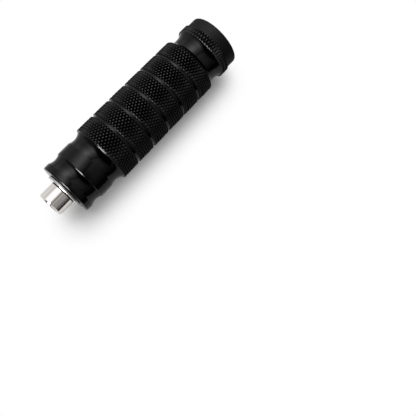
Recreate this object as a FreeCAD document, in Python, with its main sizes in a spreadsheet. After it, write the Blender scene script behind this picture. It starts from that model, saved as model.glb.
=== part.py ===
# Knurled motorcycle footpeg: a turned bar with a screw and washer in its seat and a cap in its outer end.
# Millimetres. The seat face is at X = 0, the peg reaches out along +X, and Z is up as on the machine.
import FreeCAD, Part
import Sketcher
import math
import os

Vector = FreeCAD.Vector

doc = FreeCAD.newDocument("footpeg")

# Driving sizes
SIZES = [
    ("flange_diameter", 30.3),
    ("flange_length", 3.5),
    ("flange_chamfer", 0.5),
    ("collar_diameter", 30.5),
    ("collar_length", 8.0),
    ("collar_chamfer", 0.5),
    ("cove_radius", 7.0),
    ("neck_cove_radius", 8.5),
    ("inner_cove_length", 6.3),
    ("barrel_cove_length", 7.2),
    ("barrel_diameter", 34.0),
    ("barrel_end_diameter", 32.6),
    ("barrel_length", 69.0),
    ("barrel_chamfer", 0.5),
    ("barrel_end_chamfer", 1.9),
    ("band_count", 6),
    ("groove_width", 1.5),
    ("groove_below_knurl", 0.35),
    ("knurl_count", 58),
    ("knurl_depth", 0.6),
    ("knurl_row_pitch", 1.53),
    ("knurl_end_slope", 0.25),
    ("knurl_edge_step", 0.15),
    ("knurl_backing", 2.0),
    ("neck_length", 7.1),
    ("neck_depth", 1.2),
    ("ring_diameter", 31.6),
    ("ring_length", 5.0),
    ("ring_row_pitch", 2.3),
    ("ring_edge_break", 0.3),
    ("cap_diameter", 29.9),
    ("cap_length", 6.6),
    ("cap_edge_radius", 1.3),
    ("spigot_diameter", 16.0),
    ("spigot_length", 9.0),
    ("spigot_clearance", 0.1),
    ("spigot_end_gap", 0.6),
    ("thread_diameter", 9.525),
    ("thread_clearance", 0.1),
    ("hole_run_out", 6.0),
    ("hole_mouth_chamfer", 0.8),
    ("drill_point_angle", 118.0),
    ("screw_length", 31.75),
    ("screw_tip_chamfer", 1.2),
    ("head_diameter", 14.29),
    ("head_height", 9.53),
    ("head_chamfer", 0.7),
    ("head_relief_length", 0.6),
    ("head_relief_depth", 0.2),
    ("socket_width", 7.94),
    ("socket_depth", 4.8),
    ("washer_diameter", 20.64),
    ("washer_thickness", 1.65),
    ("washer_bore_clearance", 0.4),
    ("washer_edge_break", 0.25),
    ("washer_seat_break", 0.5),
]

sheet = doc.addObject("Spreadsheet::Sheet", "Sizes")
for row, (alias, number) in enumerate(SIZES, start=1):
    sheet.set(f"A{row}", alias)
    sheet.set(f"B{row}", str(number))
    sheet.setAlias(f"B{row}", alias)
doc.recompute()


def size(alias):
    """A driving size as a number, for what is worked out in this script."""
    return float(sheet.get(alias))


def radius_of(alias, less=""):
    """The expression of half a diameter, less another size if one is given."""
    return f"Sizes.{alias} / 2" + (f" - Sizes.{less}" if less else "")


def turned_body(label, corners, coves=None):
    """A body of revolution about X from a closed half section.

    corners are (along, radius) expressions in order, "0" where a corner lies on an axis.
    coves gives the radius expression of each hollow arc by the corner that it starts from.
    """
    coves = coves or {}
    body = doc.addObject("PartDesign::Body", label)
    sketch = body.newObject("Sketcher::SketchObject", label + "_section")
    plane = next(f for f in body.Origin.OriginFeatures if f.Role == "XZ_Plane")
    sketch.AttachmentSupport = [(plane, "")]
    sketch.MapMode = "FlatFace"
    doc.recompute()
    points = [Vector(sketch.evalExpression(a), sketch.evalExpression(r), 0) for a, r in corners]
    for index, start in enumerate(points):
        end = points[(index + 1) % len(points)]
        if index in coves:
            sketch.addGeometry(hollow_arc(start, end, sketch.evalExpression(coves[index])))
        else:
            sketch.addGeometry(Part.LineSegment(start, end))
    for index in range(len(points)):
        sketch.addConstraint(Sketcher.Constraint("Coincident", index, 2, (index + 1) % len(points), 1))
    for index, (along, radius) in enumerate(corners):
        bind_corner(sketch, index, "DistanceX", along, points[index].x, -2)
        bind_corner(sketch, index, "DistanceY", radius, points[index].y, -1)
    for index, radius in coves.items():
        constraint = sketch.addConstraint(Sketcher.Constraint("Radius", index, sketch.evalExpression(radius)))
        sketch.setExpression(f"Constraints[{constraint}]", radius)
    turning = body.newObject("PartDesign::Revolution", label + "_turning")
    turning.Profile = sketch
    turning.ReferenceAxis = (sketch, ["H_Axis"])
    turning.Angle = 360
    doc.recompute()
    return body


def bind_corner(sketch, index, kind, expression, number, axis):
    """Hold one coordinate of a corner on its axis, or at the distance that its expression gives."""
    if expression == "0":
        sketch.addConstraint(Sketcher.Constraint("PointOnObject", index, 1, axis))
        return
    constraint = sketch.addConstraint(Sketcher.Constraint(kind, -1, 1, index, 1, number))
    sketch.setExpression(f"Constraints[{constraint}]", expression)


def hollow_arc(start, end, radius):
    """The arc from start to end that sinks towards the axis."""
    middle = (start + end) / 2
    half_chord = start.distanceToPoint(end) / 2
    outward = Vector(start.y - end.y, end.x - start.x, 0).normalize()
    centre = middle + outward * math.sqrt(radius ** 2 - half_chord ** 2)
    return Part.Arc(start, centre - outward * radius, end)


# Stations along the axis, as expressions
FLANGE_END = "Sizes.flange_length"
COLLAR_START = FLANGE_END + " + Sizes.inner_cove_length"
COLLAR_END = COLLAR_START + " + Sizes.collar_length"
BARREL_START = COLLAR_END + " + Sizes.barrel_cove_length"
BARREL_END = BARREL_START + " + Sizes.barrel_length"
RING_START = BARREL_END + " + Sizes.neck_length"
BODY_END = RING_START + " + Sizes.ring_length"

# Radii that more than one corner uses, as expressions
UNDER_KNURL = " - Sizes.knurl_depth - Sizes.knurl_edge_step"
BARREL_LIP = radius_of("barrel_diameter") + UNDER_KNURL
BARREL_END_LIP = radius_of("barrel_end_diameter") + UNDER_KNURL
GROOVE_FLOOR = " - Sizes.knurl_depth - Sizes.groove_below_knurl"
RING_CORE = radius_of("ring_diameter") + UNDER_KNURL
NECK_RADIUS = RING_CORE + " - Sizes.neck_depth"
NECK_ARC_LENGTH = "sqrt(2 * Sizes.neck_cove_radius * Sizes.neck_depth - Sizes.neck_depth ^ 2)"
HOLE_RADIUS = radius_of("thread_diameter") + " + Sizes.thread_clearance"
HOLE_DEPTH = "Sizes.screw_length - Sizes.washer_thickness + Sizes.hole_run_out"
DRILL_POINT = f"({HOLE_RADIUS}) / tan(Sizes.drill_point_angle / 2 * 1deg)"
BORE_RADIUS = radius_of("spigot_diameter") + " + Sizes.spigot_clearance"
BORE_BOTTOM = f"{BODY_END} - Sizes.spigot_length - Sizes.spigot_end_gap"


def peg_core():
    """The turned bar, with its barrel at the depth of the grooves."""
    corners = [
        (f"{HOLE_DEPTH} + {DRILL_POINT}", "0"),
        (HOLE_DEPTH, HOLE_RADIUS),
        ("Sizes.hole_mouth_chamfer", HOLE_RADIUS),
        ("0", HOLE_RADIUS + " + Sizes.hole_mouth_chamfer"),
        ("0", radius_of("flange_diameter", "flange_chamfer")),
        ("Sizes.flange_chamfer", radius_of("flange_diameter")),
        (FLANGE_END, radius_of("flange_diameter")),
        (COLLAR_START, radius_of("collar_diameter", "collar_chamfer")),
        (COLLAR_START + " + Sizes.collar_chamfer", radius_of("collar_diameter")),
        (COLLAR_END, radius_of("collar_diameter")),
        (BARREL_START, BARREL_LIP + " - Sizes.barrel_chamfer"),
        (BARREL_START + " + Sizes.barrel_chamfer", BARREL_LIP),
        (BARREL_START + " + 2 * Sizes.barrel_chamfer", radius_of("barrel_diameter") + GROOVE_FLOOR),
        (BARREL_END + " - 2 * Sizes.barrel_end_chamfer", radius_of("barrel_end_diameter") + GROOVE_FLOOR),
        (BARREL_END + " - Sizes.barrel_end_chamfer", BARREL_END_LIP),
        (BARREL_END, NECK_RADIUS),
        (f"{RING_START} - {NECK_ARC_LENGTH}", NECK_RADIUS),
        (RING_START, RING_CORE),
        (BODY_END, RING_CORE),
        (BODY_END, BORE_RADIUS),
        (BORE_BOTTOM, BORE_RADIUS),
        (BORE_BOTTOM, "0"),
    ]
    coves = {6: "Sizes.cove_radius", 9: "Sizes.cove_radius", 16: "Sizes.neck_cove_radius"}
    return turned_body("peg_core", corners, coves)


def knurl_band(label, start, end, start_radius, end_radius, row_pitch):
    """A sleeve with a diamond knurl: crests and roots alternate, four facets to a diamond.

    It reaches into the bar by the knurl's backing. The crests of its first and last row stand back
    from its ends, so that each end slopes.
    """
    columns = 2 * round(size("knurl_count"))
    rows = max(2, round((end - start) / row_pitch))
    depth = size("knurl_depth")
    slope = size("knurl_end_slope")
    rings = []
    for row in range(rows + 1):
        share = row / rows
        crest = start_radius + (end_radius - start_radius) * share
        along = start + (end - start) * share
        crest_along = min(max(along, start + slope), end - slope)
        ring = []
        for column in range(columns):
            low = (row + column) % 2 == 1
            radius = crest - depth if low else crest
            turn = 2 * math.pi * column / columns
            place = along if low else crest_along
            ring.append(Vector(place, radius * math.cos(turn), radius * math.sin(turn)))
        rings.append(ring)
    faces = []
    for row in (0, rows):
        roots = rings[row][(row + 1) % 2::2]
        faces.append(Part.Face(Part.makePolygon(roots + roots[:1])))
        for column in range(row % 2, columns, 2):
            before, crest, after = rings[row][column - 1], rings[row][column], rings[row][(column + 1) % columns]
            faces.append(Part.Face(Part.makePolygon([before, crest, after, before])))
    for row in range(rows):
        for column in range(columns):
            after = (column + 1) % columns
            near, near_after = rings[row][column], rings[row][after]
            far, far_after = rings[row + 1][column], rings[row + 1][after]
            if (row + column) % 2 == 0:
                facets = [(near, near_after, far), (near_after, far_after, far)]
            else:
                facets = [(near, near_after, far_after), (near, far_after, far)]
            faces += [Part.Face(Part.makePolygon([a, b, c, a])) for a, b, c in facets]
    shell = Part.makeShell(faces)
    shell.sewShape()
    bore_radius = min(start_radius, end_radius) - depth - size("knurl_backing")
    bore = Part.makeCylinder(bore_radius, end - start, Vector(start, 0, 0), Vector(1, 0, 0))
    band = doc.addObject("Part::Feature", label)
    band.Shape = Part.Solid(shell).cut(bore)
    return band


def barrel_bands(core):
    """The knurled bands of the barrel, with a groove between each pair."""
    barrel_start = core.evalExpression(BARREL_START)
    length = size("barrel_length")
    count = round(size("band_count"))
    knurl_start = barrel_start + size("barrel_chamfer")
    knurl_end = barrel_start + length - size("barrel_end_chamfer")
    taper = (size("barrel_end_diameter") - size("barrel_diameter")) / 2 / (knurl_end - knurl_start)
    bands = []
    for index in range(count):
        start = barrel_start + length * index / count + size("groove_width") / 2
        end = barrel_start + length * (index + 1) / count - size("groove_width") / 2
        start = knurl_start if index == 0 else start
        end = knurl_end if index == count - 1 else end
        radii = [size("barrel_diameter") / 2 + taper * (x - knurl_start) for x in (start, end)]
        bands.append(knurl_band(f"barrel_band_{index + 1}", start, end, *radii, size("knurl_row_pitch")))
    return bands


def ring_band(core):
    """The narrow knurled ring beyond the neck."""
    start = core.evalExpression(RING_START)
    end = core.evalExpression(BODY_END) - size("ring_edge_break")
    crest = size("ring_diameter") / 2
    return knurl_band("ring_band", start, end, crest, crest, size("ring_row_pitch"))


def make_peg_body():
    """The footpeg itself: the turned bar and its knurled bands as one piece."""
    core = peg_core()
    body = doc.addObject("Part::MultiFuse", "peg_body")
    body.Shapes = [core] + barrel_bands(core) + [ring_band(core)]
    body.Refine = False
    doc.recompute()
    return body


def make_end_cap():
    """The plain cap: a rim with a rounded edge and a spigot in the end bore."""
    corners = [
        ("0", "0"),
        ("0", radius_of("spigot_diameter")),
        ("Sizes.spigot_length", radius_of("spigot_diameter")),
        ("Sizes.spigot_length", radius_of("cap_diameter")),
        ("Sizes.spigot_length + Sizes.cap_length", radius_of("cap_diameter")),
        ("Sizes.spigot_length + Sizes.cap_length", "0"),
    ]
    cap = turned_body("end_cap", corners)
    turning = cap.Tip
    outer_end = max(
        (number for number, edge in enumerate(turning.Shape.Edges, start=1) if len(edge.Vertexes) == 1),
        key=lambda number: (
            turning.Shape.Edges[number - 1].CenterOfMass.x,
            turning.Shape.Edges[number - 1].BoundBox.ZMax,
        ),
    )
    rounding = cap.newObject("PartDesign::Fillet", "end_cap_edge")
    rounding.Base = (turning, [f"Edge{outer_end}"])
    rounding.setExpression("Radius", "Sizes.cap_edge_radius")
    cap.setExpression("Placement.Base.x", f"{BODY_END} - Sizes.spigot_length")
    doc.recompute()
    return cap


def make_flat_washer():
    """The plain washer between the screw head and the seat face."""
    bore = radius_of("thread_diameter") + " + Sizes.washer_bore_clearance"
    corners = [
        ("0", bore),
        ("0", radius_of("washer_diameter", "washer_edge_break")),
        ("Sizes.washer_edge_break", radius_of("washer_diameter")),
        ("Sizes.washer_thickness - Sizes.washer_seat_break", radius_of("washer_diameter")),
        ("Sizes.washer_thickness", radius_of("washer_diameter", "washer_seat_break")),
        ("Sizes.washer_thickness", bore),
    ]
    washer = turned_body("flat_washer", corners)
    washer.setExpression("Placement.Base.x", "-Sizes.washer_thickness")
    doc.recompute()
    return washer


def make_cap_screw():
    """The socket head cap screw: head, shank at the thread's outside diameter, and hexagon socket."""
    shank_end = "Sizes.head_height + Sizes.screw_length"
    corners = [
        ("0", "0"),
        ("0", radius_of("head_diameter", "head_chamfer")),
        ("Sizes.head_chamfer", radius_of("head_diameter")),
        ("Sizes.head_height - Sizes.head_relief_length", radius_of("head_diameter")),
        ("Sizes.head_height", radius_of("head_diameter", "head_relief_depth")),
        ("Sizes.head_height", radius_of("thread_diameter")),
        (shank_end + " - Sizes.screw_tip_chamfer", radius_of("thread_diameter")),
        (shank_end, radius_of("thread_diameter", "screw_tip_chamfer")),
        (shank_end, "0"),
    ]
    screw = turned_body("cap_screw", corners)
    plain_volume = screw.Shape.Volume
    socket = screw.newObject("Sketcher::SketchObject", "socket_outline")
    plane = next(f for f in screw.Origin.OriginFeatures if f.Role == "YZ_Plane")
    socket.AttachmentSupport = [(plane, "")]
    socket.MapMode = "FlatFace"
    sides = 6
    corner_radius = size("socket_width") / 2 / math.cos(math.pi / sides)
    turns = [2 * math.pi * side / sides for side in range(sides)]
    outline = [Vector(corner_radius * math.cos(turn), corner_radius * math.sin(turn), 0) for turn in turns]
    for side in range(sides):
        socket.addGeometry(Part.LineSegment(outline[side], outline[(side + 1) % sides]))
    for side in range(sides):
        socket.addConstraint(Sketcher.Constraint("Coincident", side, 2, (side + 1) % sides, 1))
    circle = socket.addGeometry(Part.Circle(Vector(), Vector(0, 0, 1), corner_radius), True)
    socket.addConstraint(Sketcher.Constraint("Coincident", circle, 3, -1, 1))
    for side in range(sides):
        socket.addConstraint(Sketcher.Constraint("PointOnObject", side, 1, circle))
    for side in range(1, sides):
        socket.addConstraint(Sketcher.Constraint("Equal", 0, side))
    socket.addConstraint(Sketcher.Constraint("PointOnObject", 0, 1, -1))
    across = socket.addConstraint(Sketcher.Constraint("Radius", circle, corner_radius))
    socket.setExpression(f"Constraints[{across}]", "Sizes.socket_width / 2 / cos(30 deg)")
    cutting = screw.newObject("PartDesign::Pocket", "socket")
    cutting.Profile = socket
    cutting.Reversed = True
    cutting.setExpression("Length", "Sizes.socket_depth")
    screw.setExpression("Placement.Base.x", "-Sizes.washer_thickness - Sizes.head_height")
    doc.recompute()
    if screw.Shape.Volume >= plain_volume:
        raise RuntimeError("the socket cuts nothing")
    return screw


pieces = [make_peg_body(), make_end_cap(), make_flat_washer(), make_cap_screw()]
doc.recompute()

for item in doc.Objects:
    if "Invalid" in item.State or "Error" in item.State:
        raise RuntimeError(f"{item.Label} did not build: {item.State}")
for piece in pieces:
    if piece.Shape.isNull() or not piece.Shape.isValid() or len(piece.Shape.Solids) != 1:
        raise RuntimeError(f"{piece.Label} is not one sound solid")

os.makedirs("parts", exist_ok=True)
for piece in pieces:
    piece.Shape.Solids[0].exportStep(f"parts/{piece.Label}.step")
    box = piece.Shape.BoundBox
    print(f"{piece.Label}: {piece.Shape.Volume:.1f} mm3, X {box.XMin:.2f} to {box.XMax:.2f}, across {box.ZLength:.2f}")
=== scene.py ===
# Knurled motorcycle footpeg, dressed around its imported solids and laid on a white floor.
import bmesh
import bpy
import math
import random
from mathutils import Matrix, Quaternion, Vector


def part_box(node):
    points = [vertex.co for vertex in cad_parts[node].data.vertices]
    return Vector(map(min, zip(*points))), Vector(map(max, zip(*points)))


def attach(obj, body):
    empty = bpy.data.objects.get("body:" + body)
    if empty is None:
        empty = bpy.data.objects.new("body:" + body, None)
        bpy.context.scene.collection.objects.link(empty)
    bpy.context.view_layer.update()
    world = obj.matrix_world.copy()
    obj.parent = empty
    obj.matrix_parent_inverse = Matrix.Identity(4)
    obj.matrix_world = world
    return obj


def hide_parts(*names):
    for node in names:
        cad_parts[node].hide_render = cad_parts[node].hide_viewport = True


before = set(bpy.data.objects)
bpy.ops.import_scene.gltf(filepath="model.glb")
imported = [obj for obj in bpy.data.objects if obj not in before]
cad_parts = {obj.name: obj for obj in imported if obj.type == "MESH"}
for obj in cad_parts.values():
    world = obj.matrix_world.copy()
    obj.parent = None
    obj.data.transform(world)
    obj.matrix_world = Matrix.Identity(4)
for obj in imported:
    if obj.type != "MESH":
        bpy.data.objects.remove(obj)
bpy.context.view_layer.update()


# Footpeg bar
# One bar of aluminium, turned to a seat flange, a collar and a tapered barrel with hollow coves
# between them, then knurled in bands with grooves cut between, and black anodised all over.
# A screw in its tapped inner end holds it to its bracket.
MM = 0.001
AXIS = Vector((1, 0, 0))
bar_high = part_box("peg_body")[1]
bar_end = bar_high.x
flange_radius = 15.15 * MM
flange_end = 3.5 * MM
flange_chamfer = 0.5 * MM
collar_radius = 15.25 * MM
collar_start = 9.8 * MM
collar_end = 17.8 * MM
collar_chamfer = 0.5 * MM
cove_radius = 7.0 * MM
neck_cove_radius = 8.5 * MM
cove_steps = 10
barrel_start = 25.0 * MM
barrel_length = 69.0 * MM
barrel_end = barrel_start + barrel_length
barrel_radius = bar_high.y
barrel_end_radius = 16.3 * MM
barrel_chamfer = 0.5 * MM
barrel_end_chamfer = 1.9 * MM
band_count = 6
groove_width = 1.5 * MM
groove_below_knurl = 0.35 * MM
groove_corner = 0.1 * MM
knurl_count = 58
knurl_columns = 2 * knurl_count
knurl_depth = 0.6 * MM
knurl_row_pitch = 1.53 * MM
ring_row_pitch = 2.3 * MM
knurl_end_slope = 0.46 * MM
knurl_end_rim = 0.28 * MM
ring_end_slope = 0.38 * MM
knurl_edge_step = 0.15 * MM
crest_flat = 0.30
crest_unevenness = 0.03 * MM
neck_length = 7.1 * MM
neck_depth = 1.2 * MM
ring_start = barrel_end + neck_length
ring_radius = 15.8 * MM
ring_edge_break = 0.3 * MM
hole_radius = 4.8625 * MM
hole_depth = 36.1 * MM
hole_mouth_chamfer = 0.8 * MM
drill_half_angle = math.radians(59)
drill_point = hole_radius / math.tan(drill_half_angle)
spigot_bore_radius = 8.1 * MM
spigot_bore_depth = 9.6 * MM
edge_rounding = 0.09 * MM
hair = 0.01 * MM
row_reach = hair / 3
spin_weld = 0.002 * MM
knurl_weld = 1.5 * hair
turned_edge_angle = math.radians(18)
bar_sharp_degrees = 32
unevenness_seed = 7


def hollow_arc(start, end, radius, steps):
    """Points between the ends of an arc that sinks towards the axis. Points are (along, radius)."""
    first, last = Vector(start), Vector(end)
    chord = last - first
    outward = Vector((-chord.y, chord.x)).normalized()
    centre = (first + last) / 2 + outward * math.sqrt(radius ** 2 - chord.length_squared / 4)
    sweep = 2 * math.asin(chord.length / 2 / radius)
    arm = first - centre
    points = []
    for step in range(1, steps):
        turn = sweep * step / steps
        along = arm.x * math.cos(turn) - arm.y * math.sin(turn)
        outwards = arm.x * math.sin(turn) + arm.y * math.cos(turn)
        points.append((centre.x + along, centre.y + outwards))
    return points


def knurl_root(along):
    """Radius of the knurl's roots on the tapered barrel."""
    knurl_start = barrel_start + barrel_chamfer
    knurl_end = barrel_end - barrel_end_chamfer
    share = (along - knurl_start) / (knurl_end - knurl_start)
    return barrel_radius + (barrel_end_radius - barrel_radius) * share - knurl_depth


def knurl_rows(start, end, pitch):
    """Places along the axis of the rows of one knurled band, its end rows a hair inside its ends."""
    count = max(2, round((end - start) / pitch))
    rows = [start + (end - start) * row / count for row in range(count + 1)]
    rows[0] += hair
    rows[-1] -= hair
    return rows


bands = []
for number in range(band_count):
    band_start = barrel_start + barrel_length * number / band_count + groove_width / 2
    band_end = barrel_start + barrel_length * (number + 1) / band_count - groove_width / 2
    if number == 0:
        band_start = barrel_start + barrel_chamfer
    if number == band_count - 1:
        band_end = barrel_end - barrel_end_chamfer
    band_rows = knurl_rows(band_start, band_end, knurl_row_pitch)
    bands.append([(along, knurl_root(along)) for along in band_rows])
ring_rows = knurl_rows(ring_start, bar_end - ring_edge_break, ring_row_pitch)
bands.append([(along, ring_radius - knurl_depth) for along in ring_rows])

barrel_lip = knurl_root(barrel_start + barrel_chamfer) - knurl_edge_step
barrel_end_lip = knurl_root(barrel_end - barrel_end_chamfer) - knurl_edge_step
ring_core = ring_radius - knurl_depth - knurl_edge_step
neck_radius = ring_core - neck_depth
neck_arc_length = math.sqrt(2 * neck_cove_radius * neck_depth - neck_depth ** 2)

flange_edge = (flange_end, flange_radius)
collar_edge = (collar_start, collar_radius - collar_chamfer)
collar_back = (collar_end, collar_radius)
barrel_front = (barrel_start, barrel_lip - barrel_chamfer)
neck_foot = (ring_start - neck_arc_length, neck_radius)
ring_foot = (ring_start, ring_core)
section = [(hole_depth + drill_point, 0), (hole_depth, hole_radius), (hole_mouth_chamfer, hole_radius)]
section += [(0, hole_radius + hole_mouth_chamfer), (0, flange_radius - flange_chamfer)]
section += [(flange_chamfer, flange_radius), flange_edge]
section += hollow_arc(flange_edge, collar_edge, cove_radius, cove_steps)
section += [collar_edge, (collar_start + collar_chamfer, collar_radius), collar_back]
section += hollow_arc(collar_back, barrel_front, cove_radius, cove_steps)
section += [barrel_front, (barrel_start + barrel_chamfer, barrel_lip)]
for number, rows in enumerate(bands[:-1]):
    rim_before = (rows[0][0] - hair, rows[0][1] + knurl_end_rim)
    rim_after = (rows[-1][0] + hair, rows[-1][1] + knurl_end_rim)
    section += [rim_before] + rows + [rim_after]
    if number < band_count - 1:
        before, after = rows[-1], bands[number + 1][0]
        floor_before = before[1] - groove_below_knurl
        floor_after = after[1] - groove_below_knurl
        groove_start, groove_end = before[0] + hair, after[0] - hair
        section += [
            (groove_start, floor_before + groove_corner),
            (groove_start + groove_corner, floor_before),
            (groove_end - groove_corner, floor_after),
            (groove_end, floor_after + groove_corner),
        ]
section += [(barrel_end - barrel_end_chamfer, barrel_end_lip), (barrel_end, neck_radius), neck_foot]
section += hollow_arc(neck_foot, ring_foot, neck_cove_radius, cove_steps)
ring_rim = bands[-1][0][1] + knurl_end_rim
section += [ring_foot, (ring_start, ring_rim)] + bands[-1] + [(bar_end - ring_edge_break, ring_rim)]
section += [(bar_end - ring_edge_break, ring_core), (bar_end, ring_core)]
section += [(bar_end, spigot_bore_radius), (bar_end - spigot_bore_depth, spigot_bore_radius)]
section += [(bar_end - spigot_bore_depth, 0)]


def spun(points, steps):
    """A mesh turned about the axis from (along, radius) points, closed where it meets the axis."""
    mesh = bmesh.new()
    corners = [mesh.verts.new((along, radius, 0)) for along, radius in points]
    edges = [mesh.edges.new(pair) for pair in zip(corners, corners[1:])]
    bmesh.ops.spin(
        mesh, geom=corners + edges, cent=(0, 0, 0), axis=AXIS, angle=2 * math.pi,
        steps=steps, use_merge=True,
    )
    bmesh.ops.remove_doubles(mesh, verts=mesh.verts, dist=spin_weld)
    bmesh.ops.recalc_face_normals(mesh, faces=mesh.faces)
    return mesh


def finished(mesh, name, materials, sharp_degrees=30):
    """The mesh as an object of the scene, smooth but for edges sharper than the angle."""
    data = bpy.data.meshes.new(name)
    mesh.to_mesh(data)
    mesh.free()
    for material in materials:
        data.materials.append(material)
    data.set_sharp_from_angle(angle=math.radians(sharp_degrees))
    piece = bpy.data.objects.new(name, data)
    bpy.context.scene.collection.objects.link(piece)
    return piece


def raise_knurl(mesh, rows, end_slope, unevenness):
    """Lift every other corner of a band to a crest and its end roots to a rim; gives the crests."""
    corners = {}
    for corner in mesh.verts:
        radius = math.hypot(corner.co.y, corner.co.z)
        for row, (along, root) in enumerate(rows):
            if abs(corner.co.x - along) < row_reach and abs(radius - root) < row_reach:
                turn = math.atan2(corner.co.z, corner.co.y) / (2 * math.pi) * knurl_columns
                corners[corner] = (row, (row + round(turn)) % 2 == 0)
    faces = [face for face in mesh.faces if all(corner in corners for corner in face.verts)]
    for corner, (row, is_crest) in corners.items():
        from_end = min(row, len(rows) - 1 - row)
        lift = knurl_end_rim if from_end == 0 else 0
        if is_crest:
            rim = knurl_end_rim if from_end < 2 else 0
            lift = (knurl_depth - crest_flat * rim) / (1 - crest_flat)
            lift -= unevenness.uniform(0, crest_unevenness)
            first_crest, last_crest = rows[0][0] + end_slope, rows[-1][0] - end_slope
            corner.co.x = min(max(corner.co.x, first_crest), last_crest)
        corner.co += Vector((0, corner.co.y, corner.co.z)).normalized() * lift
    for face in faces:
        roots = [corner for corner in face.verts if not corners[corner][1]]
        bmesh.utils.face_split(face, roots[0], roots[1])
    return [corner for corner, (row, is_crest) in corners.items() if is_crest]


def node(tree, kind, **values):
    """A new shader node with its properties set."""
    made = tree.nodes.new(kind)
    for name, value in values.items():
        setattr(made, name, value)
    return made


def link(tree, source, target):
    """Join one node's output to another's input."""
    tree.links.new(source, target)


ring_detail = 2.0
cloud_scale = 160.0
cloud_detail = 4.0
cloud_low, cloud_high = 0.3, 0.7


def turning_marks():
    """Fine rings left by the lathe, a slow cloud, and the places along and from the axis."""
    group = bpy.data.node_groups.new("turning_marks", "ShaderNodeTree")
    group.interface.new_socket("Rings per millimetre", in_out="INPUT", socket_type="NodeSocketFloat")
    group.interface.new_socket("Height", in_out="OUTPUT", socket_type="NodeSocketFloat")
    group.interface.new_socket("Cloud", in_out="OUTPUT", socket_type="NodeSocketFloat")
    group.interface.new_socket("From axis", in_out="OUTPUT", socket_type="NodeSocketFloat")
    group.interface.new_socket("Along axis", in_out="OUTPUT", socket_type="NodeSocketFloat")
    inlet = node(group, "NodeGroupInput")
    outlet = node(group, "NodeGroupOutput")
    place = node(group, "ShaderNodeTexCoord")
    apart = node(group, "ShaderNodeSeparateXYZ")
    flat = node(group, "ShaderNodeCombineXYZ")
    length = node(group, "ShaderNodeVectorMath", operation="LENGTH")
    pair = node(group, "ShaderNodeCombineXYZ")
    to_rings = node(group, "ShaderNodeMath", operation="MULTIPLY")
    to_rings.inputs[1].default_value = 1 / MM
    scaled = node(group, "ShaderNodeVectorMath", operation="SCALE")
    rings = node(group, "ShaderNodeTexNoise", noise_dimensions="2D")
    rings.inputs["Scale"].default_value = 1.0
    rings.inputs["Detail"].default_value = ring_detail
    cloud = node(group, "ShaderNodeTexNoise", noise_dimensions="3D")
    cloud.inputs["Scale"].default_value = cloud_scale
    cloud.inputs["Detail"].default_value = cloud_detail
    link(group, place.outputs["Object"], apart.inputs[0])
    link(group, apart.outputs["Y"], flat.inputs["Y"])
    link(group, apart.outputs["Z"], flat.inputs["Z"])
    link(group, flat.outputs[0], length.inputs[0])
    link(group, apart.outputs["X"], pair.inputs["X"])
    link(group, length.outputs["Value"], pair.inputs["Y"])
    link(group, inlet.outputs["Rings per millimetre"], to_rings.inputs[0])
    link(group, pair.outputs[0], scaled.inputs[0])
    link(group, to_rings.outputs[0], scaled.inputs["Scale"])
    link(group, scaled.outputs[0], rings.inputs["Vector"])
    link(group, place.outputs["Object"], cloud.inputs["Vector"])
    link(group, rings.outputs["Fac"], outlet.inputs["Height"])
    link(group, cloud.outputs["Fac"], outlet.inputs["Cloud"])
    link(group, length.outputs["Value"], outlet.inputs["From axis"])
    link(group, apart.outputs["X"], outlet.inputs["Along axis"])
    return group


marks_group = turning_marks()


def turned_finish(name, colour, lighter, rough, gloss, edge_tint, rings, depth):
    """A metal finish with lathe rings in its surface and a slow cloud in its colour and gloss."""
    material = bpy.data.materials.new(name)
    material.use_nodes = True
    tree = material.node_tree
    shader = tree.nodes["Principled BSDF"]
    shader.inputs["Metallic"].default_value = 1.0
    shader.inputs["Specular Tint"].default_value = (edge_tint, edge_tint, edge_tint, 1)
    marks = node(tree, "ShaderNodeGroup", node_tree=marks_group, name="marks")
    marks.inputs["Rings per millimetre"].default_value = rings
    tint = node(tree, "ShaderNodeMix", data_type="RGBA", name="tint")
    tint.inputs["A"].default_value = (*colour, 1)
    tint.inputs["B"].default_value = (*lighter, 1)
    sheen = node(tree, "ShaderNodeMapRange", name="sheen")
    sheen.inputs["From Min"].default_value = cloud_low
    sheen.inputs["From Max"].default_value = cloud_high
    sheen.inputs["To Min"].default_value = gloss
    sheen.inputs["To Max"].default_value = rough
    bump = node(tree, "ShaderNodeBump")
    bump.inputs["Strength"].default_value = 1.0
    bump.inputs["Distance"].default_value = depth
    link(tree, marks.outputs["Cloud"], tint.inputs["Factor"])
    link(tree, marks.outputs["Cloud"], sheen.inputs["Value"])
    link(tree, marks.outputs["Height"], bump.inputs["Height"])
    link(tree, tint.outputs["Result"], shader.inputs["Base Color"])
    link(tree, sheen.outputs["Result"], shader.inputs["Roughness"])
    link(tree, bump.outputs["Normal"], shader.inputs["Normal"])
    return material


anodised = turned_finish(
    "black_anodised", colour=(0.0154, 0.0154, 0.0160), lighter=(0.0180, 0.0180, 0.0187),
    rough=0.20, gloss=0.13, edge_tint=0.66, rings=6.0, depth=0.0004 * MM,
)
# Painted shade: the knurl's facets get a darker colour than the turned faces of the same anodised
# metal.
knurled = turned_finish(
    "black_knurled_painted_shade", colour=(0.0111, 0.0111, 0.0116), lighter=(0.0149, 0.0149, 0.0154),
    rough=0.42, gloss=0.32, edge_tint=0.50, rings=6.0, depth=0.001 * MM,
)
# Painted highlight: the crest flats get a lighter colour than the same anodised metal elsewhere, so
# they show as bright dots.
crest_highlight_finish = turned_finish(
    "black_crests_painted_highlight", colour=(0.040, 0.040, 0.0415), lighter=(0.054, 0.054, 0.0564),
    rough=0.50, gloss=0.40, edge_tint=0.67, rings=6.0, depth=0.0006 * MM,
)
plain_slot, knurl_shade_slot, crest_highlight_slot = range(3)

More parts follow.
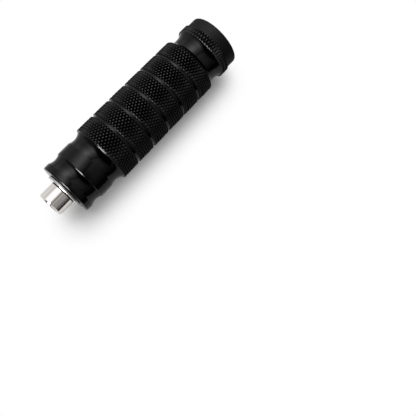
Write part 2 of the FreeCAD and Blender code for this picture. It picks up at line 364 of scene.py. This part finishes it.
bar = spun(section, knurl_columns)
unevenness = random.Random(unevenness_seed)
crest_corners = []
for rows in bands:
    end_slope = ring_end_slope if rows is bands[-1] else knurl_end_slope
    crest_corners += raise_knurl(bar, rows, end_slope, unevenness)
bmesh.ops.remove_doubles(bar, verts=bar.verts, dist=knurl_weld)
knurl_faces = {face for corner in crest_corners for face in corner.link_faces}
for face in bar.faces:
    face.smooth = face not in knurl_faces
    face.material_index = knurl_shade_slot if face in knurl_faces else plain_slot
turned_edges = [
    edge for edge in bar.edges
    if len(edge.link_faces) == 2 and edge.calc_face_angle() > turned_edge_angle
    and not any(face in knurl_faces for corner in edge.verts for face in corner.link_faces)
]
bmesh.ops.bevel(
    bar, geom=turned_edges, affect="EDGES", offset=edge_rounding, offset_type="OFFSET",
    segments=2, profile=0.5, material=-1,
)
flats = bmesh.ops.bevel(
    bar, geom=crest_corners, affect="VERTICES", offset=100 * crest_flat, offset_type="PERCENT",
    segments=1, profile=0.5, material=-1,
)
for face in flats["faces"]:
    face.material_index = crest_highlight_slot

# The inner slope of the ring gets the crests' lighter colour, a painted highlight along the ring's
# inner edge
for face in bar.faces:
    past_ring_start = face.calc_center_median().x - ring_start
    if face.material_index == knurl_shade_slot and 0 < past_ring_start < ring_end_slope:
        face.material_index = crest_highlight_slot
footpeg_bar = finished(bar, "footpeg_bar", [anodised, knurled, crest_highlight_finish], bar_sharp_degrees)
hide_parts("peg_body")
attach(footpeg_bar, "root")


# End cap
# A plain round cap of the same metal, its spigot pushed into the bore in the bar's outer end.
# It is blasted before it is anodised, so it is matt beside the bar.
matt_black = turned_finish(
    "black_matt", colour=(0.0154, 0.0154, 0.0163), lighter=(0.0186, 0.0186, 0.0196),
    rough=0.62, gloss=0.54, edge_tint=0.63, rings=3.0, depth=0.002 * MM,
)
end_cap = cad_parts["end_cap"]
end_cap.data.materials.clear()
end_cap.data.materials.append(matt_black)


# Flat washer
# A plain washer stamped from bright steel sheet, so its rim is duller and darker than its faces.
# The screw clamps it between its head and the seat of the bar.
bright_steel = turned_finish(
    "bright_steel", colour=(0.64, 0.634, 0.628), lighter=(0.72, 0.714, 0.706),
    rough=0.22, gloss=0.14, edge_tint=1.0, rings=4.0, depth=0.001 * MM,
)
washer_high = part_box("flat_washer")[1]
rim_depth = 0.12 * MM
rim_full = rim_depth / 3
rim_roughness = 0.45
rim_colour = (0.46, 0.455, 0.45)
tree = bright_steel.node_tree
at_rim = node(tree, "ShaderNodeMapRange", interpolation_type="SMOOTHSTEP")
at_rim.inputs["From Min"].default_value = washer_high.y - rim_depth
at_rim.inputs["From Max"].default_value = washer_high.y - rim_full
rim_sheen = node(tree, "ShaderNodeMix", data_type="FLOAT")
rim_sheen.inputs["B"].default_value = rim_roughness
rim_tint = node(tree, "ShaderNodeMix", data_type="RGBA")
rim_tint.inputs["B"].default_value = (*rim_colour, 1)
link(tree, tree.nodes["marks"].outputs["From axis"], at_rim.inputs["Value"])
link(tree, at_rim.outputs["Result"], rim_sheen.inputs["Factor"])
link(tree, tree.nodes["sheen"].outputs["Result"], rim_sheen.inputs["A"])
link(tree, rim_sheen.outputs["Result"], tree.nodes["Principled BSDF"].inputs["Roughness"])
link(tree, at_rim.outputs["Result"], rim_tint.inputs["Factor"])
link(tree, tree.nodes["tint"].outputs["Result"], rim_tint.inputs["A"])
link(tree, rim_tint.outputs["Result"], tree.nodes["Principled BSDF"].inputs["Base Color"])
flat_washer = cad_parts["flat_washer"]
flat_washer.data.materials.clear()
flat_washer.data.materials.append(bright_steel)


# Cap screw
# A socket head cap screw of stainless steel, driven through the washer into the bar.
# Its head is polished, but the socket and the narrow recess under the head are left dull, and their
# colour is darkened as painted shade in those hollows.
polished_steel = turned_finish(
    "polished_steel", colour=(0.58, 0.55, 0.52), lighter=(0.66, 0.63, 0.60),
    rough=0.09, gloss=0.04, edge_tint=1.0, rings=3.0, depth=0.0004 * MM,
)
socket_corner = 4.65 * MM
# Painted shade: the socket is coloured darker than the polished head, standing in for the shade inside
# it.
socket_painted_shade_colour = (0.22, 0.21, 0.20)
socket_roughness = 0.45
relief_start = -2.25 * MM
# Painted shade: the recess under the head is coloured near black, standing in for the shade beneath the
# head.
relief_painted_shade_colour = (0.028, 0.027, 0.026)
tree = polished_steel.node_tree
in_socket = node(tree, "ShaderNodeMath", operation="LESS_THAN")
in_socket.inputs[1].default_value = socket_corner
in_relief = node(tree, "ShaderNodeMath", operation="GREATER_THAN")
in_relief.inputs[1].default_value = relief_start
socket_painted_shade = node(tree, "ShaderNodeMix", data_type="RGBA")
socket_painted_shade.inputs["B"].default_value = (*socket_painted_shade_colour, 1)
relief_painted_shade = node(tree, "ShaderNodeMix", data_type="RGBA")
relief_painted_shade.inputs["B"].default_value = (*relief_painted_shade_colour, 1)
dull = node(tree, "ShaderNodeMath", operation="MAXIMUM")
dull_sheen = node(tree, "ShaderNodeMix", data_type="FLOAT")
dull_sheen.inputs["B"].default_value = socket_roughness
link(tree, tree.nodes["marks"].outputs["From axis"], in_socket.inputs[0])
link(tree, tree.nodes["marks"].outputs["Along axis"], in_relief.inputs[0])
link(tree, in_socket.outputs[0], socket_painted_shade.inputs["Factor"])
link(tree, tree.nodes["tint"].outputs["Result"], socket_painted_shade.inputs["A"])
link(tree, in_relief.outputs[0], relief_painted_shade.inputs["Factor"])
link(tree, socket_painted_shade.outputs["Result"], relief_painted_shade.inputs["A"])
link(tree, relief_painted_shade.outputs["Result"], tree.nodes["Principled BSDF"].inputs["Base Color"])
link(tree, in_socket.outputs[0], dull.inputs[0])
link(tree, in_relief.outputs[0], dull.inputs[1])
link(tree, dull.outputs[0], dull_sheen.inputs["Factor"])
link(tree, tree.nodes["sheen"].outputs["Result"], dull_sheen.inputs["A"])
link(tree, dull_sheen.outputs["Result"], tree.nodes["Principled BSDF"].inputs["Roughness"])
cap_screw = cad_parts["cap_screw"]
cap_screw.data.materials.clear()
cap_screw.data.materials.append(polished_steel)


# White floor
# A sheet of matt white card that the footpeg lies loose on.
# It leans with the barrel's taper, so that the barrel lies along it.
floor_half = 3.0
taper_length = barrel_length - barrel_chamfer - barrel_end_chamfer
lean = math.atan((barrel_radius - barrel_end_radius) / taper_length)
floor_white = (0.90, 0.90, 0.90)
shadow_start = 0.0
shadow_end = 0.097
shadow_side = -0.008
shadow_near = 0.0
shadow_far = 0.024
shadow_share = 0.05

floor_mesh = bmesh.new()
bmesh.ops.create_grid(floor_mesh, x_segments=2, y_segments=2, size=floor_half)
touch = Vector((barrel_start, 0, -barrel_radius))
laid = Matrix.Translation(touch) @ Matrix.Rotation(-lean, 4, "Y")
bmesh.ops.transform(floor_mesh, matrix=laid, verts=floor_mesh.verts)
sheet_material = bpy.data.materials.new("white_sheet")
sheet_material.use_nodes = True
tree = sheet_material.node_tree
tree.nodes.clear()
sheet_out = node(tree, "ShaderNodeOutputMaterial")
matt = node(tree, "ShaderNodeBsdfDiffuse")
matt.inputs["Color"].default_value = (*floor_white, 1)
glow = node(tree, "ShaderNodeEmission")
mixed = node(tree, "ShaderNodeMixShader")
path = node(tree, "ShaderNodeLightPath")
seen = node(tree, "ShaderNodeMath", operation="MAXIMUM")
seen_any = node(tree, "ShaderNodeMath", operation="MAXIMUM")
place = node(tree, "ShaderNodeTexCoord")
apart = node(tree, "ShaderNodeSeparateXYZ")
from_middle = node(tree, "ShaderNodeMath", operation="SUBTRACT")
from_middle.inputs[1].default_value = (shadow_start + shadow_end) / 2
along_it = node(tree, "ShaderNodeMath", operation="ABSOLUTE")
past_end = node(tree, "ShaderNodeMath", operation="SUBTRACT", use_clamp=True)
past_end.inputs[1].default_value = (shadow_end - shadow_start) / 2
aside = node(tree, "ShaderNodeMath", operation="SUBTRACT")
aside.inputs[1].default_value = shadow_side
flat_place = node(tree, "ShaderNodeCombineXYZ")
away = node(tree, "ShaderNodeVectorMath", operation="LENGTH")
share = node(tree, "ShaderNodeMapRange", interpolation_type="SMOOTHSTEP")
share.inputs["From Min"].default_value = shadow_near
share.inputs["From Max"].default_value = shadow_far
share.inputs["To Min"].default_value = shadow_share
share.inputs["To Max"].default_value = 1.0
amount = node(tree, "ShaderNodeMath", operation="MULTIPLY")
link(tree, path.outputs["Is Camera Ray"], seen.inputs[0])
link(tree, path.outputs["Is Glossy Ray"], seen.inputs[1])
link(tree, seen.outputs[0], seen_any.inputs[0])
link(tree, path.outputs["Is Transmission Ray"], seen_any.inputs[1])
link(tree, place.outputs["Object"], apart.inputs[0])
link(tree, apart.outputs["X"], from_middle.inputs[0])
link(tree, from_middle.outputs[0], along_it.inputs[0])
link(tree, along_it.outputs[0], past_end.inputs[0])
link(tree, past_end.outputs[0], flat_place.inputs["X"])
link(tree, apart.outputs["Y"], aside.inputs[0])
link(tree, aside.outputs[0], flat_place.inputs["Y"])
link(tree, flat_place.outputs[0], away.inputs[0])
link(tree, away.outputs["Value"], share.inputs["Value"])
link(tree, share.outputs["Result"], amount.inputs[0])
link(tree, seen_any.outputs[0], amount.inputs[1])
link(tree, amount.outputs[0], mixed.inputs["Fac"])
link(tree, matt.outputs[0], mixed.inputs[1])
link(tree, glow.outputs[0], mixed.inputs[2])
link(tree, mixed.outputs[0], sheet_out.inputs["Surface"])
white_floor = finished(floor_mesh, "white_floor", [sheet_material])

# A black card on the floor beside the footpeg, which only its reflections show
card_low = Vector((-0.30, -0.90, 0))
card_high = Vector((0.45, -0.048, 0))
card_above_floor = 0.0004
card_colour = (0.004, 0.004, 0.004)
card_roughness = 0.9
card_mesh = bmesh.new()
bmesh.ops.create_grid(card_mesh, x_segments=1, y_segments=1, size=0.5)
bmesh.ops.scale(card_mesh, vec=(*(card_high - card_low).xy, 1), verts=card_mesh.verts)
card_middle = (card_low + card_high) / 2 - Vector((touch.x, 0, -card_above_floor))
bmesh.ops.translate(card_mesh, vec=card_middle, verts=card_mesh.verts)
bmesh.ops.transform(card_mesh, matrix=laid, verts=card_mesh.verts)
card_material = bpy.data.materials.new("black_card")
card_material.use_nodes = True
card_shader = card_material.node_tree.nodes["Principled BSDF"]
card_shader.inputs["Base Color"].default_value = (*card_colour, 1)
card_shader.inputs["Roughness"].default_value = card_roughness
black_card = finished(card_mesh, "black_card", [card_material])
black_card.visible_camera = False
black_card.visible_diffuse = False
black_card.visible_transmission = False
black_card.visible_shadow = False


# Studio light
# A tent of soft light, brightest in a strip overhead and darkest at the side of the inner end,
# with two low lamps off that end, which pick out the edges that face them.
tent_top = 3.15
tent = [
    (-180, 0.22), (-96, 0.25), (-82, 0.36), (-70, 0.34), (-59, 0.27), (-49, 0.31),
    (-40, 0.41), (-31, 0.58), (-23, 0.82), (-15, 1.00), (-7, 1.00), (1, 0.64),
    (9, 0.34), (17, 0.21), (20, 0.08), (26, 0.08), (29, 0.22), (39, 0.19),
    (47, 0.15), (66, 0.13), (80, 0.08), (88, 0.03), (180, 0.03),
]
strip_inner_end = (-0.60, -0.25)
past_strip = 0.25
strip_rise = (0.10, 0.45)
strip_outer_level = 1.42
strip_lean = 0.28
dark_side = Vector((-0.75, -0.45, 0.50)).normalized()
dark_edge = 0.57
dark_core = 0.84
dark_level = 0.03
world = bpy.data.worlds.new("light_tent")
bpy.context.scene.world = world
world.use_nodes = True
tree = world.node_tree
room = tree.nodes["Background"]
room.inputs["Color"].default_value = (1, 1, 1, 1)
path = node(tree, "ShaderNodeLightPath")
sky = node(tree, "ShaderNodeTexCoord")
apart = node(tree, "ShaderNodeSeparateXYZ")
to_camera_side = node(tree, "ShaderNodeMath", operation="MULTIPLY")
to_camera_side.inputs[1].default_value = -1
leaning = node(tree, "ShaderNodeMath", operation="MULTIPLY_ADD")
leaning.inputs[1].default_value = strip_lean
angle = node(tree, "ShaderNodeMath", operation="ARCTAN2")
span = node(tree, "ShaderNodeMapRange")
span.inputs["From Min"].default_value = -math.pi
span.inputs["From Max"].default_value = math.pi
ramp = node(tree, "ShaderNodeValToRGB")
ramp.color_ramp.interpolation = "LINEAR"
while len(ramp.color_ramp.elements) < len(tent):
    ramp.color_ramp.elements.new(0.5)
for stop, (degrees, level) in zip(ramp.color_ramp.elements, tent):
    stop.position = (degrees + 180) / 360
    stop.color = (level, level, level, 1)
inner_fade = node(tree, "ShaderNodeMapRange", interpolation_type="SMOOTHSTEP")
inner_fade.inputs["From Min"].default_value = strip_inner_end[0]
inner_fade.inputs["From Max"].default_value = strip_inner_end[1]
inner_fade.inputs["To Min"].default_value = past_strip
inner_fade.inputs["To Max"].default_value = 1.0
outer_rise = node(tree, "ShaderNodeMapRange", interpolation_type="SMOOTHSTEP")
outer_rise.inputs["From Min"].default_value = strip_rise[0]
outer_rise.inputs["From Max"].default_value = strip_rise[1]
outer_rise.inputs["To Min"].default_value = 1.0
outer_rise.inputs["To Max"].default_value = strip_outer_level
towards_dark = node(tree, "ShaderNodeVectorMath", operation="DOT_PRODUCT")
towards_dark.inputs[1].default_value = dark_side
shade = node(tree, "ShaderNodeMapRange", interpolation_type="SMOOTHSTEP")
shade.inputs["From Min"].default_value = dark_edge
shade.inputs["From Max"].default_value = dark_core
shade.inputs["To Min"].default_value = tent_top
shade.inputs["To Max"].default_value = tent_top * dark_level
faded_in = node(tree, "ShaderNodeMath", operation="MULTIPLY")
raised = node(tree, "ShaderNodeMath", operation="MULTIPLY")
shaded = node(tree, "ShaderNodeMath", operation="MULTIPLY")
brightness = node(tree, "ShaderNodeMix", data_type="FLOAT")
brightness.inputs["B"].default_value = 1.0
link(tree, sky.outputs["Generated"], apart.inputs[0])
link(tree, sky.outputs["Generated"], towards_dark.inputs[0])
link(tree, apart.outputs["Y"], to_camera_side.inputs[0])
link(tree, apart.outputs["X"], leaning.inputs[0])
link(tree, to_camera_side.outputs[0], leaning.inputs[2])
link(tree, leaning.outputs[0], angle.inputs[0])
link(tree, apart.outputs["Z"], angle.inputs[1])
link(tree, angle.outputs[0], span.inputs["Value"])
link(tree, span.outputs["Result"], ramp.inputs["Fac"])
link(tree, apart.outputs["X"], inner_fade.inputs["Value"])
link(tree, apart.outputs["X"], outer_rise.inputs["Value"])
link(tree, towards_dark.outputs["Value"], shade.inputs["Value"])
link(tree, ramp.outputs["Color"], faded_in.inputs[0])
link(tree, inner_fade.outputs["Result"], faded_in.inputs[1])
link(tree, faded_in.outputs[0], raised.inputs[0])
link(tree, outer_rise.outputs["Result"], raised.inputs[1])
link(tree, raised.outputs[0], shaded.inputs[0])
link(tree, shade.outputs["Result"], shaded.inputs[1])
link(tree, path.outputs["Is Camera Ray"], brightness.inputs["Factor"])
link(tree, shaded.outputs[0], brightness.inputs["A"])
link(tree, brightness.outputs["Result"], room.inputs["Strength"])

lamp_away = -0.55
lamp_side = 0.01
lamp_width = 0.22
lamp_radiance = 50.0
lamps = [("low_lamp", 0.072, 0.06, True), ("high_lamp", 0.147, 0.09, False)]
for name, above, lamp_height, lights_floor in lamps:
    lamp = bpy.data.lights.new(name, "AREA")
    lamp.shape = "RECTANGLE"
    lamp.size = lamp_width
    lamp.size_y = lamp_height
    lamp.energy = lamp_radiance * math.pi * lamp_width * lamp_height
    end_lamp = bpy.data.objects.new(name, lamp)
    end_lamp.location = (lamp_away, lamp_side, above)
    end_lamp.rotation_mode = "QUATERNION"
    end_lamp.rotation_quaternion = (-end_lamp.location).to_track_quat("-Z", "Y")
    end_lamp.visible_camera = False
    end_lamp.visible_diffuse = lights_floor
    bpy.context.scene.collection.objects.link(end_lamp)


# Camera
# It looks down on the footpeg from the side of its seat, as far off and at the angle of the photograph.
camera_place = Vector((-0.02245, -0.14113, 0.32611))
camera_aim = Vector((0.04374, -0.05646, -0.0170))
camera_roll = math.radians(10.2)
sensor_width = 36.0
picture_width = 416
focal_pixels = 690
nearest_seen = 0.01
farthest_seen = 20
camera_data = bpy.data.cameras.new("camera")
camera_data.sensor_width = sensor_width
camera_data.lens = focal_pixels * sensor_width / picture_width
camera_data.clip_start = nearest_seen
camera_data.clip_end = farthest_seen
camera = bpy.data.objects.new("camera", camera_data)
sight = (camera_aim - camera_place).normalized()
camera.location = camera_place
camera.rotation_mode = "QUATERNION"
camera.rotation_quaternion = Quaternion(sight, camera_roll) @ sight.to_track_quat("-Z", "Y")
bpy.context.scene.collection.objects.link(camera)
bpy.context.scene.camera = camera

bpy.context.scene.view_settings.view_transform = "Standard"
